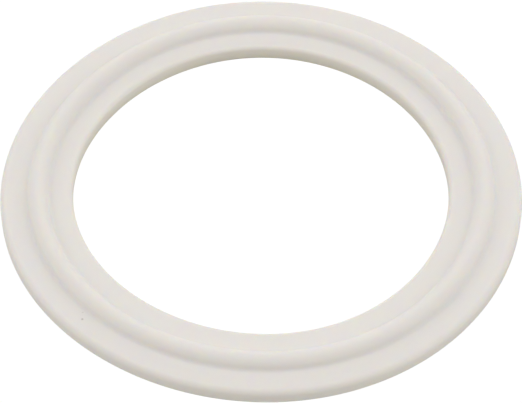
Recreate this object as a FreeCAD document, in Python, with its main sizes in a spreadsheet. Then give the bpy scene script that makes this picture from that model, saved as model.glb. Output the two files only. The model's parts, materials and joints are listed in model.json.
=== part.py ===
import FreeCAD, Part
import os
import Sketcher

# A face gasket moulded in one piece from white rubber: a flat ring whose top face carries a
# half-round sealing bead, like a cord ring half sunk in the face. The bead's feet flare out to
# the face, where the moulding has a soft hollow. The underside is flat.
# Origin: centre of the underside. +Z: the ring's axis, towards the bead. Millimetres.

SIZES = [
    ("bore_diameter", 56.0, "hole through the ring"),
    ("inner_land_width", 3.15, "flat top face between the bore and the bead"),
    ("bead_width", 4.2, "bead across its flared feet"),
    ("outer_land_width", 3.55, "flat top face between the bead and the rim"),
    ("plate_thickness", 2.5, "flat ring, underside to top face"),
    ("bead_height", 1.65, "bead crest above the top face"),
    ("foot_flare", 0.5, "sloping foot on each side of the bead, as wide as it is high"),
    ("face_edge_radius", 0.8, "rounding of the top face's edges, at the bore and the rim"),
]

# Sizes that follow from the sheet, written once for the sketches to share
BORE_RADIUS = "Sizes.bore_diameter / 2"
BEAD_START_RADIUS = BORE_RADIUS + " + Sizes.inner_land_width"
RING_WIDTH = "Sizes.inner_land_width + Sizes.bead_width + Sizes.outer_land_width"
CROWN_HALF_WIDTH = "(Sizes.bead_width / 2 - Sizes.foot_flare)"
CROWN_RISE = "(Sizes.bead_height - Sizes.foot_flare)"
CROWN_RADIUS = f"({CROWN_HALF_WIDTH} ^ 2 + {CROWN_RISE} ^ 2) / (2 * {CROWN_RISE})"
CROWN_CENTRE_HEIGHT = "Sizes.plate_thickness + Sizes.bead_height - " + CROWN_RADIUS

# Sketcher's numbers for the ends of an edge, and for the sketch's origin and horizontal axis
START, END, CENTRE = 1, 2, 3
ORIGIN = (-1, 1)
HORIZONTAL_AXIS = -1


def make_sheet(doc):
    """Writes the driving sizes into a spreadsheet, one row each: name, value, meaning."""
    sheet = doc.addObject("Spreadsheet::Sheet", "Sizes")
    for row, (name, value, meaning) in enumerate(SIZES, start=1):
        sheet.set(f"A{row}", name)
        sheet.set(f"B{row}", str(value))
        sheet.set(f"C{row}", meaning)
        sheet.setAlias(f"B{row}", name)
    doc.recompute()
    return sheet


def section_sketch(body, name):
    """Adds a sketch on the body's XZ plane: its x is the radius and its y is the height."""
    plane = next(p for p in body.Origin.OriginFeatures if p.Role == "XZ_Plane")
    sketch = body.newObject("Sketcher::SketchObject", name)
    sketch.AttachmentSupport = [(plane, "")]
    sketch.MapMode = "FlatFace"
    return sketch


def dimension(sketch, name, constraint, formula):
    """Adds a named dimension to a sketch and binds it to the sheet."""
    index = sketch.addConstraint(constraint)
    sketch.renameConstraint(index, name)
    sketch.setExpression("Constraints." + name, formula)


def revolve(body, name, sketch):
    """Turns a half section round the ring's axis."""
    revolution = body.newObject("PartDesign::Revolution", name)
    revolution.Profile = sketch
    revolution.ReferenceAxis = (sketch, ["V_Axis"])
    revolution.Angle = 360
    sketch.Visibility = False
    return revolution


def make_plate(body, sheet):
    """The flat ring: a rectangle from the bore to the rim, standing on the underside."""
    sketch = section_sketch(body, "plate_section")
    inner = sheet.bore_diameter / 2
    outer = inner + sheet.inner_land_width + sheet.bead_width + sheet.outer_land_width
    top = sheet.plate_thickness
    corners = [
        FreeCAD.Vector(inner, 0, 0),
        FreeCAD.Vector(outer, 0, 0),
        FreeCAD.Vector(outer, top, 0),
        FreeCAD.Vector(inner, top, 0),
    ]
    under, rim, face, bore = [
        sketch.addGeometry(Part.LineSegment(corners[i], corners[(i + 1) % 4])) for i in range(4)
    ]
    for edge, following in ((under, rim), (rim, face), (face, bore), (bore, under)):
        sketch.addConstraint(Sketcher.Constraint("Coincident", edge, END, following, START))
    for edge in (under, face):
        sketch.addConstraint(Sketcher.Constraint("Horizontal", edge))
    for edge in (rim, bore):
        sketch.addConstraint(Sketcher.Constraint("Vertical", edge))
    sketch.addConstraint(Sketcher.Constraint("PointOnObject", under, START, HORIZONTAL_AXIS))
    dimension(
        sketch,
        "bore_radius",
        Sketcher.Constraint("DistanceX", *ORIGIN, under, START, inner),
        BORE_RADIUS,
    )
    dimension(
        sketch,
        "ring_width",
        Sketcher.Constraint("DistanceX", under, START, under, END, outer - inner),
        RING_WIDTH,
    )
    dimension(
        sketch,
        "thickness",
        Sketcher.Constraint("DistanceY", rim, START, rim, END, top),
        "Sizes.plate_thickness",
    )
    return revolve(body, "plate", sketch)


def make_bead(body, sheet):
    """The sealing bead: a round crown on sloping feet that spread over the plate's top face."""
    sketch = section_sketch(body, "bead_section")
    half_width = sheet.bead_width / 2
    flare = sheet.foot_flare
    face = sheet.plate_thickness
    middle = sheet.bore_diameter / 2 + sheet.inner_land_width + half_width
    crown_half_width = half_width - flare
    crown_rise = sheet.bead_height - flare
    crown_radius = (crown_half_width**2 + crown_rise**2) / (2 * crown_rise)
    inner_foot = FreeCAD.Vector(middle - half_width, face, 0)
    outer_foot = FreeCAD.Vector(middle + half_width, face, 0)
    inner_shoulder = inner_foot + FreeCAD.Vector(flare, flare, 0)
    outer_shoulder = outer_foot + FreeCAD.Vector(-flare, flare, 0)
    crest = FreeCAD.Vector(middle, face + sheet.bead_height, 0)
    crown = sketch.addGeometry(Part.Arc(outer_shoulder, crest, inner_shoulder))
    inner_slope = sketch.addGeometry(Part.LineSegment(inner_shoulder, inner_foot))
    chord = sketch.addGeometry(Part.LineSegment(inner_foot, outer_foot))
    outer_slope = sketch.addGeometry(Part.LineSegment(outer_foot, outer_shoulder))
    path = (crown, inner_slope, chord, outer_slope)
    for edge, following in zip(path, path[1:] + path[:1]):
        sketch.addConstraint(Sketcher.Constraint("Coincident", edge, END, following, START))
    sketch.addConstraint(Sketcher.Constraint("Horizontal", chord))
    dimension(
        sketch,
        "inner_foot_radius",
        Sketcher.Constraint("DistanceX", *ORIGIN, chord, START, inner_foot.x),
        BEAD_START_RADIUS,
    )
    dimension(
        sketch,
        "width",
        Sketcher.Constraint("DistanceX", chord, START, chord, END, 2 * half_width),
        "Sizes.bead_width",
    )
    dimension(
        sketch,
        "foot_height",
        Sketcher.Constraint("DistanceY", *ORIGIN, chord, START, face),
        "Sizes.plate_thickness",
    )
    for side, slope, foot, shoulder in (
        ("inner", inner_slope, END, START),
        ("outer", outer_slope, START, END),
    ):
        dimension(
            sketch,
            side + "_flare_width",
            Sketcher.Constraint("DistanceX", slope, END, slope, START, flare),
            "Sizes.foot_flare",
        )
        dimension(
            sketch,
            side + "_flare_height",
            Sketcher.Constraint("DistanceY", slope, foot, slope, shoulder, flare),
            "Sizes.foot_flare",
        )
    dimension(
        sketch,
        "crown_centre_height",
        Sketcher.Constraint("DistanceY", *ORIGIN, crown, CENTRE, crest.y - crown_radius),
        CROWN_CENTRE_HEIGHT,
    )
    return revolve(body, "bead", sketch)


def round_edges(body, name, base, circles, radius_size):
    """Rounds the circular edges of a feature that lie at the given (radius, height) places."""
    tolerance = 1e-4
    names = []
    for number, edge in enumerate(base.Shape.Edges, start=1):
        if edge.Curve.TypeId != "Part::GeomCircle":
            continue
        for radius, height in circles:
            at_radius = abs(edge.Curve.Radius - radius) < tolerance
            if at_radius and abs(edge.Curve.Center.z - height) < tolerance:
                names.append(f"Edge{number}")
    if len(names) != len(circles):
        raise RuntimeError(f"{name}: found {len(names)} of {len(circles)} edges")
    fillet = body.newObject("PartDesign::Fillet", name)
    fillet.Base = (base, names)
    fillet.setExpression("Radius", "Sizes." + radius_size)
    return fillet


def make_gasket(doc, sheet):
    """The whole gasket: the flat ring, the bead on its face and the rounded edges of the face."""
    body = doc.addObject("PartDesign::Body", "Gasket")
    body.Label = "o_ring_gasket"
    body.Placement = FreeCAD.Placement()
    make_plate(body, sheet)
    bead = make_bead(body, sheet)
    doc.recompute()

    bore = sheet.bore_diameter / 2
    rim = bore + sheet.inner_land_width + sheet.bead_width + sheet.outer_land_width
    top = sheet.plate_thickness
    round_edges(body, "face_edges", bead, [(bore, top), (rim, top)], "face_edge_radius")
    doc.recompute()
    return body


def check(doc, bodies):
    """Stops the build if any feature failed or a piece is not one valid solid."""
    for item in doc.Objects:
        if "Invalid" in item.State or "Error" in item.State:
            raise RuntimeError(f"{item.Name} failed: {item.State}")
    for body in bodies:
        shape = body.Shape
        if shape.isNull() or not shape.isValid() or len(shape.Solids) != 1:
            raise RuntimeError(f"{body.Label} is not one valid solid")


def write_parts(bodies):
    """Writes each piece to its own STEP file and prints its size."""
    os.makedirs("parts", exist_ok=True)
    for body in bodies:
        body.Shape.exportStep(f"parts/{body.Label}.step")
        box = body.Shape.optimalBoundingBox(False)
        print(
            f"{body.Label}: {box.XLength:.3f} x {box.YLength:.3f} x {box.ZLength:.3f} mm,"
            f" {body.Shape.Volume:.1f} mm3"
        )


doc = FreeCAD.newDocument("face_gasket")
sheet = make_sheet(doc)
pieces = [make_gasket(doc, sheet)]
check(doc, pieces)
write_parts(pieces)
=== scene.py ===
"""A one-piece face gasket of white rubber with an o-ring bead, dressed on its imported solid."""

import json
import math

import bmesh
import bpy
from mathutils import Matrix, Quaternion, Vector


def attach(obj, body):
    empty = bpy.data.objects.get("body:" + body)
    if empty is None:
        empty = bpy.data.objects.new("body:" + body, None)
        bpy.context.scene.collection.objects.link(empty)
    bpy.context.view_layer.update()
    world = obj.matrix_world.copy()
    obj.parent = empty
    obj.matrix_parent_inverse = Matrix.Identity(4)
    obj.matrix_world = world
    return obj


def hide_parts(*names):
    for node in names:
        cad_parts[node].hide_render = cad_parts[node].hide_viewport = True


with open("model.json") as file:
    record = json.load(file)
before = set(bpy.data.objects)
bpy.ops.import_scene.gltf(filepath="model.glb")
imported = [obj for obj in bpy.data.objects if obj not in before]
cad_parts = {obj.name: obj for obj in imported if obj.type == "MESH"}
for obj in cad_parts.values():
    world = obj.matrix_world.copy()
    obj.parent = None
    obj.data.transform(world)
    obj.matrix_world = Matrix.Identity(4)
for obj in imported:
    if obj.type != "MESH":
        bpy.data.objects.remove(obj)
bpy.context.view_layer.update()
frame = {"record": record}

bl_info = {
    "name": "Rubber face gasket",
    "version": (1, 0, 0),
    "blender": (4, 5, 0),
    "location": "3D View > Sidebar > Gasket",
    "description": "Moulds a rubber face gasket with an o-ring bead and sets it on white paper",
    "category": "Object",
}

MM = 0.001
# Places closer than this, in metres, count as the same
NEAR = 1e-6
NODE = "o_ring_gasket"

# Where the solid says that the ring's surfaces are
MOUNTS = {mount["name"]: mount for mount in frame["record"]["mounts"]}
BORE_RADIUS = MOUNTS["bore"]["dims"]["r_mm"] * MM
RIM_RADIUS = MOUNTS["rim"]["dims"]["r_mm"] * MM
FACE_HEIGHT = MOUNTS["outer_land"]["pos_m"][2]
BEAD_RADIUS = MOUNTS["sealing_bead"]["pos_m"][0]
BEAD_HEIGHT = MOUNTS["sealing_bead"]["pos_m"][2] - FACE_HEIGHT

# How far the soft ring lies from a true circle, in millimetres: waves round the ring, then the
# cosine and sine parts. It slides towards the back and swells outwards by these amounts.
SLIDE = ((2, -0.12, 0.28), (3, 0.1, -0.15))
SWELL = ((2, -0.07, 0.04), (3, 0.01, -0.05))
# How far off centre the bore, the bead and the rim lie, as if the halves of the mould had met a
# little askew, in millimetres, across and towards the back
BORE_OFFSET = (-0.08, 0.08)
BEAD_OFFSET = (-0.03, -0.27)
RIM_OFFSET = (-0.04, 0.01)

# Specks of dark dust moulded into the face: across and towards the back from the ring's centre in
# millimetres, width in millimetres and how dark, 1 being the colour of the dust
SPECKS = ((-25.5, -25.9, 0.42, 0.4), (-25.5, -24.65, 0.3, 0.2))

# Lamps of the studio: name, direction from the ring as azimuth and elevation in degrees (azimuth
# 0 is in front and 90 on the right), width in metres and power in watts
SOFT_BOXES = (
    ("top_box", 0, 90, 0.8, 3.55),
    ("right_box", 90, 35, 0.8, 4.3),
    ("left_box", 270, 35, 0.8, 3.75),
    ("back_box", 180, 17, 0.7, 2.7),
)
# How far from the ring the lamps hang, in metres
LAMP_DISTANCE = 1.5

# Brightness of the surroundings as a light, and of paper and surroundings in the picture, where 1
# is full white
DOME_LIGHT = 0.495
BURNT_OUT = 1.03

# Half the paper's width in metres, and how far it lies below the gasket, so that they don't touch
PAPER_HALF_WIDTH = 3.0
PAPER_GAP = 0.02 * MM

# Where the camera aims, from the ring's centre: to the right and up as the camera sees it
AIM = (-0.06 * MM, -0.83 * MM)

# Steps of the arcs in the section, of the rounded edges and across each flat land
CROWN_STEPS = 28
ROOT_STEPS = 6
FACE_EDGE_STEPS = 8
OTHER_EDGE_STEPS = 4
LAND_CUTS = 5


def linear(hex_colour):
    """Turns an sRGB colour such as "#E5E1DA" into linear red, green and blue."""
    values = [int(hex_colour[i : i + 2], 16) / 255 for i in (1, 3, 5)]
    return [v / 12.92 if v <= 0.04045 else ((v + 0.055) / 1.055) ** 2.4 for v in values]


class GasketShape(bpy.types.PropertyGroup):
    """Sizes of the gasket's section."""

    bore_radius: bpy.props.FloatProperty(
        name="Bore radius",
        description="Ring's axis to the middle of the bore's wall",
        default=BORE_RADIUS,
        unit="LENGTH",
    )
    rim_radius: bpy.props.FloatProperty(
        name="Rim radius",
        description="Ring's axis to the widest place of the rim",
        default=RIM_RADIUS,
        unit="LENGTH",
    )
    face_height: bpy.props.FloatProperty(
        name="Face height",
        description="Underside to the flat top face",
        default=FACE_HEIGHT,
        unit="LENGTH",
    )
    bead_radius: bpy.props.FloatProperty(
        name="Bead radius",
        description="Ring's axis to the bead's crest",
        default=BEAD_RADIUS,
        unit="LENGTH",
    )
    bead_height: bpy.props.FloatProperty(
        name="Bead height",
        description="Crest above the top face",
        default=BEAD_HEIGHT,
        unit="LENGTH",
    )
    bead_width: bpy.props.FloatProperty(
        name="Bead width",
        description="Across its round part, without the hollows beside it",
        default=2.9 * MM,
        unit="LENGTH",
    )
    bead_root: bpy.props.FloatProperty(
        name="Bead root",
        description="Radius of the hollow between the bead and the top face",
        default=0.6 * MM,
        unit="LENGTH",
    )
    bore_edge: bpy.props.FloatProperty(
        name="Bore edge",
        description="Rounding of the top face's edge at the bore, and of the turn in its wall",
        default=0.55 * MM,
        unit="LENGTH",
    )
    rim_edge: bpy.props.FloatProperty(
        name="Rim edge",
        description="Rounding of the top face's edge at the rim",
        default=0.95 * MM,
        unit="LENGTH",
    )
    underside_edge: bpy.props.FloatProperty(
        name="Underside edge",
        description="Rounding of the underside's edges",
        default=0.35 * MM,
        unit="LENGTH",
    )
    bore_draft: bpy.props.FloatProperty(
        name="Bore draft",
        description="How far the bore's wall leans back, up and down from its middle",
        default=0.15 * MM,
        unit="LENGTH",
    )
    rim_draft: bpy.props.FloatProperty(
        name="Rim draft",
        description="How far the rim's wall leans in towards the underside",
        default=0.05 * MM,
        unit="LENGTH",
    )
    steps: bpy.props.IntProperty(
        name="Steps", description="Sections in one turn round the ring", default=360
    )


class RubberFinish(bpy.types.PropertyGroup):
    """Colour and grain of the rubber, and the shade painted low in the bore."""

    colour: bpy.props.FloatVectorProperty(
        name="Rubber",
        description="Colour of the rubber",
        size=3,
        subtype="COLOR",
        default=linear("#F3EEEB"),
    )
    warm: bpy.props.FloatVectorProperty(
        name="Warm patches",
        description="Colour of the faint warmer clouds",
        size=3,
        subtype="COLOR",
        default=linear("#F2EEE7"),
    )
    # Painted shade low in the bore: a darker, warmer colour where the wall meets the table, with
    # how high and how far from the bore it reaches
    painted_bore_shade: bpy.props.FloatVectorProperty(
        name="Painted shade",
        description="Colour of the film low in the bore",
        size=3,
        subtype="COLOR",
        default=linear("#E2DED1"),
    )
    painted_shade_height: bpy.props.FloatProperty(
        name="Film height",
        description="How far the film reaches above the underside",
        default=2.6 * MM,
        unit="LENGTH",
    )
    painted_shade_reach: bpy.props.FloatProperty(
        name="Film reach",
        description="How far from the bore the film is full; it fades out over as much again",
        default=1 * MM,
        unit="LENGTH",
    )
    dust: bpy.props.FloatVectorProperty(
        name="Dust",
        description="Colour of the moulded-in specks",
        size=3,
        subtype="COLOR",
        default=linear("#8C7F70"),
    )
    roughness: bpy.props.FloatProperty(
        name="Roughness", description="Matt moulded skin", default=0.62, subtype="FACTOR"
    )
    cloud_size: bpy.props.FloatProperty(
        name="Cloud size", description="Width of the clouds", default=7 * MM, unit="LENGTH"
    )
    grain_size: bpy.props.FloatProperty(
        name="Grain size", description="Width of the grain", default=0.5 * MM, unit="LENGTH"
    )
    grain_height: bpy.props.FloatProperty(
        name="Grain height", description="Height of the grain", default=0.008 * MM, unit="LENGTH"
    )


class StudioSettings(bpy.types.PropertyGroup):
    """Camera and lights."""

    elevation: bpy.props.FloatProperty(
        name="Elevation",
        description="Camera above the floor",
        default=math.radians(48.54),
        subtype="ANGLE",
    )
    roll: bpy.props.FloatProperty(
        name="Roll", description="Camera's tilt", default=math.radians(0.31), subtype="ANGLE"
    )
    distance: bpy.props.FloatProperty(
        name="Distance", description="Camera to the ring", default=429.3 * MM, unit="LENGTH"
    )
    lens: bpy.props.FloatProperty(
        name="Lens", description="Focal length", default=198.0, unit="CAMERA"
    )
    light_power: bpy.props.FloatProperty(
        name="Light", description="Factor on all the lamps", default=1.0, subtype="FACTOR"
    )


def ring_edges(bm, radius, height):
    """The edges that run round the ring at a radius and a height."""
    at_place = set()
    for vert in bm.verts:
        at_radius = abs(math.hypot(vert.co.x, vert.co.y) - radius) < NEAR
        if at_radius and abs(vert.co.z - height) < NEAR:
            at_place.add(vert)
    return [edge for edge in bm.edges if set(edge.verts) <= at_place]


def round_ring(bm, radius, height, amount, segments):
    """Rounds the sharp edge that runs round the ring at a radius and a height."""
    bmesh.ops.bevel(
        bm,
        geom=ring_edges(bm, radius, height),
        offset=amount,
        offset_type="OFFSET",
        segments=segments,
        profile=0.5,
        affect="EDGES",
        material=-1,
    )


def split_flats(bm, height, cuts):
    """Cuts the flat lands at a height into narrower rings, so that they shade as flat."""
    across = []
    for edge in bm.edges:
        inner, outer = sorted(math.hypot(v.co.x, v.co.y) for v in edge.verts)
        level = all(abs(v.co.z - height) < NEAR for v in edge.verts)
        if level and outer - inner > NEAR:
            across.append(edge)
    bmesh.ops.subdivide_edges(bm, edges=across, cuts=cuts, use_grid_fill=True)


def turn_last(bm, vert, centre, angle, steps):
    """Extrudes a vertex along an arc in the XZ plane and gives the arc's last vertex."""
    arc = bmesh.ops.spin(
        bm,
        geom=[vert],
        cent=(centre[0], 0, centre[1]),
        axis=(0, 1, 0),
        angle=angle,
        steps=steps,
    )
    return next(item for item in arc["geom_last"] if isinstance(item, bmesh.types.BMVert))


def half_section(bm, shape):
    """Draws the ring's section in the XZ plane: sharp corners, and a bead with hollow roots.

    The mould parts at the rim's top edge and halfway up the bore, whose wall leans both ways. The
    path runs from the bead's inner foot through the bore, underside and rim to its outer foot.
    """
    half = shape.bead_width / 2
    root = shape.bead_root
    crown = (half**2 + shape.bead_height**2) / (2 * shape.bead_height)
    crown_centre = shape.face_height + shape.bead_height - crown
    root_centre = shape.face_height + root
    reach = math.sqrt((crown + root) ** 2 - (root_centre - crown_centre) ** 2)
    lean = math.atan2(root_centre - crown_centre, reach)
    places = [
        (shape.bead_radius - reach, shape.face_height),
        (shape.bore_radius + shape.bore_draft, shape.face_height),
        (shape.bore_radius, shape.face_height / 2),
        (shape.bore_radius + shape.bore_draft, 0),
        (shape.rim_radius - shape.rim_draft, 0),
        (shape.rim_radius, shape.face_height),
    ]
    verts = [bm.verts.new((x, 0, z)) for x, z in places]
    for first, second in zip(verts, verts[1:]):
        bm.edges.new((first, second))
    last = verts[0]
    hollow = lean - math.pi / 2
    for middle, height, angle, steps in (
        (shape.bead_radius - reach, root_centre, hollow, ROOT_STEPS),
        (shape.bead_radius, crown_centre, math.pi - 2 * lean, CROWN_STEPS),
        (shape.bead_radius + reach, root_centre, hollow, ROOT_STEPS),
    ):
        last = turn_last(bm, last, (middle, height), angle, steps)
    bm.edges.new((last, verts[-1]))


def waves(parts, angle):
    """Sum of a few waves round the ring, in metres."""
    return MM * sum(
        cosine * math.cos(count * angle) + sine * math.sin(count * angle)
        for count, cosine, sine in parts
    )


def lay_loosely(bm, shape):
    """Moves the true ring to how the soft one lies: off centre and a little out of round."""
    half = shape.bead_width / 2
    stops = [
        (shape.bore_radius, Vector(BORE_OFFSET)),
        (shape.bead_radius - half, Vector(BEAD_OFFSET)),
        (shape.bead_radius + half, Vector(BEAD_OFFSET)),
        (shape.rim_radius, Vector(RIM_OFFSET)),
    ]
    for vert in bm.verts:
        radius = math.hypot(vert.co.x, vert.co.y)
        angle = math.atan2(vert.co.y, vert.co.x)
        offset = stops[0][1] if radius < shape.bore_radius else stops[-1][1]
        for (low, before), (high, after) in zip(stops, stops[1:]):
            if low <= radius <= high:
                offset = before.lerp(after, (radius - low) / (high - low))
        swollen = radius + waves(SWELL, angle)
        vert.co.x = swollen * math.cos(angle) + offset.x * MM
        vert.co.y = swollen * math.sin(angle) + offset.y * MM + waves(SLIDE, angle)


def new_piece(name, bm, material):
    """Turns a bmesh into a smooth object at the origin."""
    mesh = bpy.data.meshes.new(name)
    for face in bm.faces:
        face.smooth = True
    bm.to_mesh(mesh)
    bm.free()
    piece = bpy.data.objects.new(name, mesh)
    bpy.context.scene.collection.objects.link(piece)
    mesh.materials.append(material)
    return piece


def add_node(tree, kind, settings=None, values=None, links=None):
    """Adds a node with its settings, its input values and the sockets that feed its inputs."""
    node = tree.nodes.new(kind)
    for name, value in (settings or {}).items():
        setattr(node, name, value)
    for name, value in (values or {}).items():
        node.inputs[name].default_value = value
    for name, socket in (links or {}).items():
        tree.links.new(socket, node.inputs[name])
    return node


def blend(tree, share, under, over):
    """Lays a colour over the colour of a socket, by the share that another socket gives."""
    mix = add_node(
        tree,
        "ShaderNodeMix",
        settings={"data_type": "RGBA"},
        values={"B": (*over, 1)},
        links={"Factor": share, "A": under},
    )
    return mix.outputs["Result"]


def fade(tree, value, start, end, share):
    """Turns a value into 0 at its start, up to a share at its end."""
    ramp = add_node(
        tree,
        "ShaderNodeMapRange",
        values={"From Min": start, "From Max": end, "To Max": share},
        links={"Value": value},
    )
    return ramp.outputs["Result"]


def moulded_silicone_rubber(finish):
    """Off-white silicone rubber, compression moulded: matt, faintly translucent, softly clouded.

    The mould's blasted skin leaves a fine grain and no gloss. Light goes about half a millimetre
    into the rubber, which keeps the hollows beside the bead from turning grey. Low in the bore a
    darker, warmer colour is painted in as painted shade, where the wall meets the table, and two
    specks of dust are moulded into the face.
    """
    material = bpy.data.materials.new("moulded_silicone_rubber")
    material.use_nodes = True
    tree = material.node_tree
    tree.nodes.clear()
    place = add_node(tree, "ShaderNodeTexCoord").outputs["Object"]
    clouds = add_node(
        tree,
        "ShaderNodeTexNoise",
        values={"Scale": 1 / finish.cloud_size, "Detail": 2.0, "Roughness": 0.5},
        links={"Vector": place},
    )
    grain = add_node(
        tree,
        "ShaderNodeTexNoise",
        values={"Scale": 1 / finish.grain_size, "Detail": 3.0, "Roughness": 0.6},
        links={"Vector": place},
    )
    colour = add_node(
        tree,
        "ShaderNodeMix",
        settings={"data_type": "RGBA"},
        values={"A": (*finish.colour, 1), "B": (*finish.warm, 1)},
        links={"Factor": clouds.outputs["Fac"]},
    ).outputs["Result"]
    # Painted shade: darker and warmer towards the underside, close to the bore's wall
    height = add_node(tree, "ShaderNodeSeparateXYZ", links={"Vector": place}).outputs["Z"]
    low = fade(tree, height, finish.painted_shade_height, 0, 1)
    from_centre = add_node(
        tree, "ShaderNodeVectorMath", settings={"operation": "LENGTH"}, links={0: place}
    )
    painted_shade_end = BORE_RADIUS + finish.painted_shade_reach
    inside = fade(tree, from_centre.outputs["Value"], painted_shade_end + finish.painted_shade_reach, painted_shade_end, 1)
    painted_bore_shade = add_node(
        tree, "ShaderNodeMath", settings={"operation": "MULTIPLY"}, links={0: low, 1: inside}
    )
    colour = blend(tree, painted_bore_shade.outputs["Value"], colour, finish.painted_bore_shade)
    for across, back, width, darkness in SPECKS:
        away = add_node(
            tree,
            "ShaderNodeVectorMath",
            settings={"operation": "DISTANCE"},
            values={1: (across * MM, back * MM, FACE_HEIGHT)},
            links={0: place},
        )
        spot = fade(tree, away.outputs["Value"], width / 2 * MM, width / 4 * MM, darkness)
        colour = blend(tree, spot, colour, finish.dust)
    bump = add_node(
        tree,
        "ShaderNodeBump",
        values={"Strength": 1.0, "Distance": finish.grain_height},
        links={"Height": grain.outputs["Fac"]},
    )
    shader = add_node(
        tree,
        "ShaderNodeBsdfPrincipled",
        values={
            "Roughness": finish.roughness,
            "IOR": 1.41,
            "Subsurface Weight": 1.0,
            "Subsurface Radius": (1.0, 0.8, 0.5),
            "Subsurface Scale": 0.5 * MM,
        },
        links={"Normal": bump.outputs["Normal"]},
    )
    tree.links.new(colour, shader.inputs["Base Color"])
    add_node(tree, "ShaderNodeOutputMaterial", links={"Surface": shader.outputs["BSDF"]})
    return material


class GASKET_OT_mould_gasket(bpy.types.Operator):
    """Moulds the gasket in one piece and puts it in the solid's place"""

    bl_idname = "gasket.mould_gasket"
    bl_label = "Mould gasket"

    def execute(self, context):
        shape = context.scene.gasket_shape
        bm = bmesh.new()
        half_section(bm, shape)
        bmesh.ops.spin(
            bm,
            geom=bm.verts[:] + bm.edges[:],
            cent=(0, 0, 0),
            axis=(0, 0, 1),
            angle=2 * math.pi,
            steps=shape.steps,
            use_merge=True,
        )
        bmesh.ops.recalc_face_normals(bm, faces=bm.faces)
        bore_end = shape.bore_radius + shape.bore_draft
        rim_end = shape.rim_radius - shape.rim_draft
        for radius, height, amount, segments in (
            (bore_end, shape.face_height, shape.bore_edge, FACE_EDGE_STEPS),
            (shape.rim_radius, shape.face_height, shape.rim_edge, FACE_EDGE_STEPS),
            (shape.bore_radius, shape.face_height / 2, shape.bore_edge, OTHER_EDGE_STEPS),
            (bore_end, 0, shape.underside_edge, OTHER_EDGE_STEPS),
            (rim_end, 0, shape.underside_edge, OTHER_EDGE_STEPS),
        ):
            round_ring(bm, radius, height, amount, segments)
        split_flats(bm, shape.face_height, LAND_CUTS)
        lay_loosely(bm, shape)
        material = moulded_silicone_rubber(context.scene.gasket_finish)
        piece = new_piece("rubber_gasket", bm, material)
        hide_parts(NODE)
        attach(piece, "root")
        return {"FINISHED"}


def soft_box(name, direction, size, power):
    """Hangs a square lamp that faces the ring's centre from a direction."""
    lamp = bpy.data.lights.new(name, "AREA")
    lamp.shape = "SQUARE"
    lamp.size = size
    lamp.energy = power
    holder = bpy.data.objects.new(name, lamp)
    holder.location = Vector(direction) * LAMP_DISTANCE
    holder.rotation_mode = "QUATERNION"
    holder.rotation_quaternion = (-holder.location).to_track_quat("-Z", "Y")
    bpy.context.scene.collection.objects.link(holder)


def matt_studio_paper():
    """Rolled studio paper, warm white and matt, photographed so bright that it burns out.

    The camera sees the plain white of the burnt-out table, while the rubber gets from it only the
    light that such paper throws back.
    """
    material = bpy.data.materials.new("matt_studio_paper")
    material.use_nodes = True
    tree = material.node_tree
    tree.nodes.clear()
    paper = add_node(
        tree,
        "ShaderNodeBsdfPrincipled",
        values={"Base Color": (*linear("#E4E1D8"), 1), "Roughness": 0.8, "IOR": 1.45},
    )
    white = add_node(tree, "ShaderNodeEmission", values={"Strength": BURNT_OUT})
    seen = add_node(tree, "ShaderNodeLightPath").outputs["Is Camera Ray"]
    mix = add_node(tree, "ShaderNodeMixShader", links={"Fac": seen})
    tree.links.new(paper.outputs["BSDF"], mix.inputs[1])
    tree.links.new(white.outputs["Emission"], mix.inputs[2])
    add_node(tree, "ShaderNodeOutputMaterial", links={"Surface": mix.outputs["Shader"]})
    return material


def lay_floor():
    """Lays the white paper that the gasket lies on."""
    bm = bmesh.new()
    bmesh.ops.create_grid(bm, x_segments=1, y_segments=1, size=PAPER_HALF_WIDTH)
    floor = new_piece("paper_sweep", bm, matt_studio_paper())
    floor.location.z = -PAPER_GAP


def light_room(context):
    """Puts white surroundings round the scene, dim as a light and full white in the picture."""
    world = bpy.data.worlds.new("studio")
    world.use_nodes = True
    tree = world.node_tree
    tree.nodes.clear()
    seen = add_node(tree, "ShaderNodeLightPath").outputs["Is Camera Ray"]
    strength = add_node(
        tree,
        "ShaderNodeMapRange",
        values={"To Min": DOME_LIGHT, "To Max": BURNT_OUT},
        links={"Value": seen},
    )
    dome = add_node(
        tree,
        "ShaderNodeBackground",
        values={"Color": (1, 1, 1, 1)},
        links={"Strength": strength.outputs["Result"]},
    )
    add_node(tree, "ShaderNodeOutputWorld", links={"Surface": dome.outputs["Background"]})
    context.scene.world = world


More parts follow.
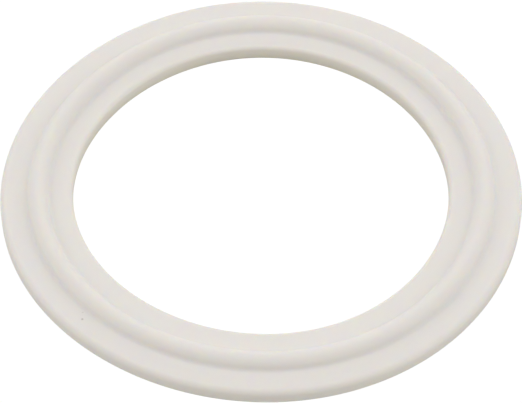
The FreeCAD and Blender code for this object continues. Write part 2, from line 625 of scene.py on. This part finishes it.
def place_camera(context, studio):
    """Looks down at the ring from the front, aimed a little below and left of its centre."""
    camera = bpy.data.cameras.new("camera")
    camera.sensor_width = 36
    camera.lens = studio.lens
    camera.clip_start = 0.01
    camera.clip_end = 20
    holder = bpy.data.objects.new("camera", camera)
    back = Vector((0, -math.cos(studio.elevation), math.sin(studio.elevation)))
    up = Vector((0, math.sin(studio.elevation), math.cos(studio.elevation)))
    holder.location = back * studio.distance
    right = Vector((1, 0, 0))
    aim = right * AIM[0] + up * AIM[1]
    turn = (aim - holder.location).to_track_quat("-Z", "Y")
    holder.rotation_mode = "QUATERNION"
    holder.rotation_quaternion = turn @ Quaternion((0, 0, 1), studio.roll)
    context.scene.collection.objects.link(holder)
    context.scene.camera = holder


class GASKET_OT_set_stage(bpy.types.Operator):
    """Sets the paper, the lamps and the camera"""

    bl_idname = "gasket.set_stage"
    bl_label = "Set stage"

    def execute(self, context):
        studio = context.scene.gasket_studio
        lay_floor()
        light_room(context)
        for name, azimuth, elevation, size, power in SOFT_BOXES:
            flat = math.cos(math.radians(elevation))
            direction = (
                flat * math.sin(math.radians(azimuth)),
                -flat * math.cos(math.radians(azimuth)),
                math.sin(math.radians(elevation)),
            )
            soft_box(name, direction, size, power * studio.light_power)
        place_camera(context, studio)
        context.scene.view_settings.view_transform = "Standard"
        return {"FINISHED"}


class GASKET_PT_sidebar(bpy.types.Panel):
    """Lists the gasket's sizes, finish and steps"""

    bl_idname = "GASKET_PT_sidebar"
    bl_label = "Rubber face gasket"
    bl_space_type = "VIEW_3D"
    bl_region_type = "UI"
    bl_category = "Gasket"

    def draw(self, context):
        for group in GROUPS:
            settings = getattr(context.scene, group)
            box = self.layout.box()
            for name in settings.bl_rna.properties.keys():
                if name not in ("rna_type", "name"):
                    box.prop(settings, name)
        self.layout.operator("gasket.mould_gasket")
        self.layout.operator("gasket.set_stage")


GROUPS = {
    "gasket_shape": GasketShape,
    "gasket_finish": RubberFinish,
    "gasket_studio": StudioSettings,
}
CLASSES = (*GROUPS.values(), GASKET_OT_mould_gasket, GASKET_OT_set_stage, GASKET_PT_sidebar)


def register():
    """Adds the classes, and the settings to the scene."""
    for cls in CLASSES:
        bpy.utils.register_class(cls)
    for name, group in GROUPS.items():
        setattr(bpy.types.Scene, name, bpy.props.PointerProperty(type=group))


def unregister():
    """Takes away what register adds."""
    for name in GROUPS:
        delattr(bpy.types.Scene, name)
    for cls in reversed(CLASSES):
        bpy.utils.unregister_class(cls)


def main():
    """Builds the scene in order."""
    register()
    bpy.ops.gasket.mould_gasket()
    bpy.ops.gasket.set_stage()


if __name__ == "__main__":
    main()
